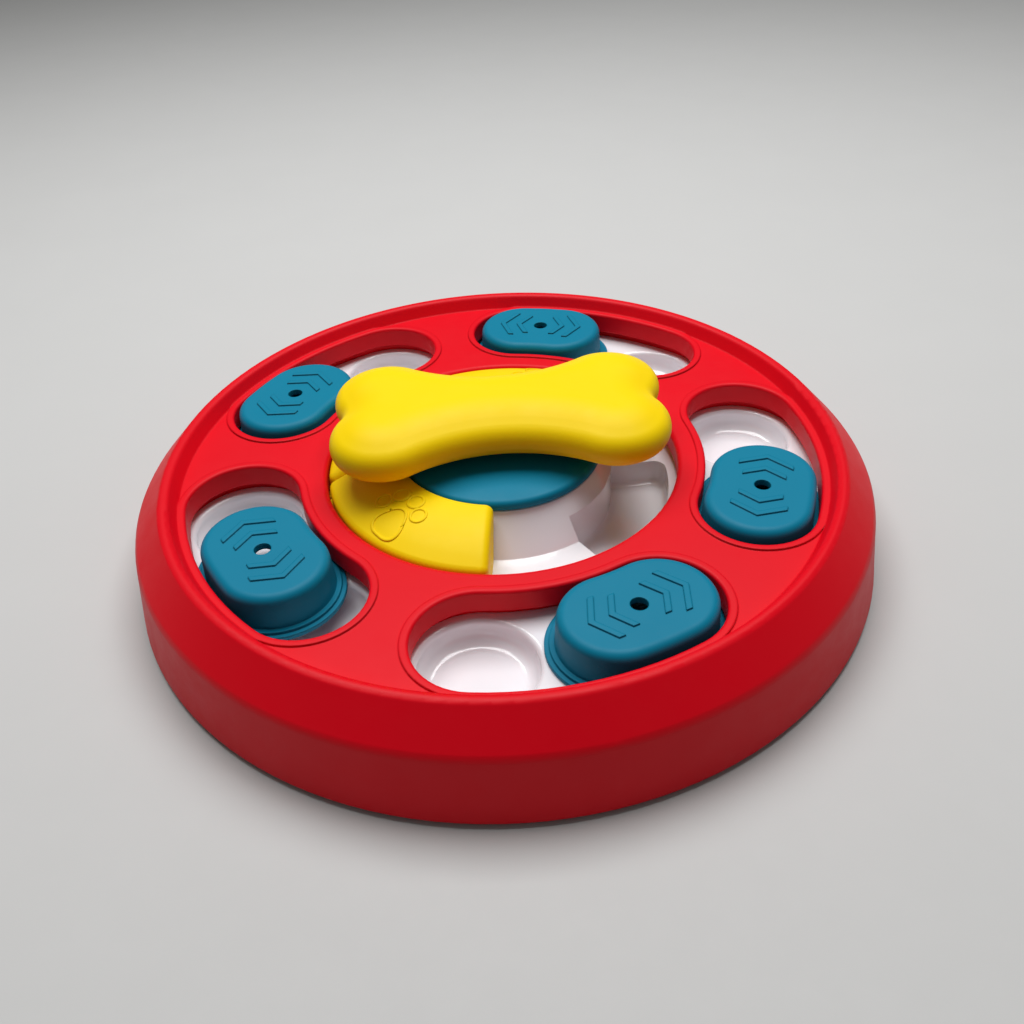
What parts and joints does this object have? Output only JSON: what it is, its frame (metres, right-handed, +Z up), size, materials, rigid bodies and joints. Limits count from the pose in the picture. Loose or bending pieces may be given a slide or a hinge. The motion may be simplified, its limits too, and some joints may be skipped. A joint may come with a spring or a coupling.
{
  "type": "dog puzzle feeder",
  "caption": "Round treat puzzle with sliding lids over wells in curved slots, sliding covers round a cone and a bone that spins in the middle.",
  "frame": {"origin": "centre of the object on the floor, under its spin axis", "axes": "+Z up along the spin axis, -Y towards the viewer, +X to the viewer's right"},
  "size_m": [0.25, 0.25, 0.0552],
  "materials": {
    "cover_red": "satin",
    "tray_white": "gloss",
    "lid_teal": "satin",
    "ring_yellow": "satin",
    "hub_teal": "satin",
    "bone_yellow": "matte",
    "washer_steel": "satin",
    "screw_steel": "satin",
    "foot_rubber": "matte"
  },
  "bodies": {
    "base": {"top_cover": "cover_red", "tray": "tray_white", "cover_screws": "screw_steel", "foot_1": "foot_rubber", "foot_2": "foot_rubber", "foot_3": "foot_rubber", "foot_4": "foot_rubber", "foot_5": "foot_rubber"},
    "lid_1": {"slider_1": "lid_teal"},
    "lid_2": {"slider_2": "lid_teal"},
    "lid_3": {"slider_3": "lid_teal"},
    "lid_4": {"slider_4": "lid_teal"},
    "lid_5": {"slider_5": "lid_teal"},
    "cover_1": {"ring_cover_1": "ring_yellow"},
    "cover_2": {"ring_cover_2": "ring_yellow"},
    "cover_3": {"ring_cover_3": "ring_yellow"},
    "spinner": {"hub_disc": "hub_teal", "bone": "bone_yellow", "hub_washer": "washer_steel", "hub_screw": "screw_steel", "bone_screws": "screw_steel"}
  },
  "joints": [
    {"name": "lid_1_slide", "type": "hinge", "parent": "base", "child": "lid_1", "pos_m": [0, 0, 0.019], "axis": [0, 0, 1], "range_deg": [-25.8, 0]},
    {"name": "lid_2_slide", "type": "hinge", "parent": "base", "child": "lid_2", "pos_m": [0, 0, 0.019], "axis": [0, 0, 1], "range_deg": [0, 25.8]},
    {"name": "lid_3_slide", "type": "hinge", "parent": "base", "child": "lid_3", "pos_m": [0, 0, 0.019], "axis": [0, 0, 1], "range_deg": [-25.1, 0.7]},
    {"name": "lid_4_slide", "type": "hinge", "parent": "base", "child": "lid_4", "pos_m": [0, 0, 0.019], "axis": [0, 0, 1], "range_deg": [-25.8, 0]},
    {"name": "lid_5_slide", "type": "hinge", "parent": "base", "child": "lid_5", "pos_m": [0, 0, 0.019], "axis": [0, 0, 1], "range_deg": [-15.5, 10.3]},
    {"name": "cover_1_slide", "type": "hinge", "parent": "base", "child": "cover_1", "pos_m": [0, 0, 0.019], "axis": [0, 0, 1], "range_deg": [0, 60]},
    {"name": "cover_2_slide", "type": "hinge", "parent": "base", "child": "cover_2", "pos_m": [0, 0, 0.019], "axis": [0, 0, 1], "range_deg": [0, 60]},
    {"name": "cover_3_slide", "type": "hinge", "parent": "base", "child": "cover_3", "pos_m": [0, 0, 0.019], "axis": [0, 0, 1], "range_deg": [-60, 0]},
    {"name": "bone_spin", "type": "hinge", "parent": "base", "child": "spinner", "pos_m": [0, 0, 0.0314], "axis": [0, 0, 1], "continuous": true}
  ],
  "couplings": [
    {"joint": "cover_2_slide", "follows": "cover_1_slide", "ratio": 1}
  ]
}
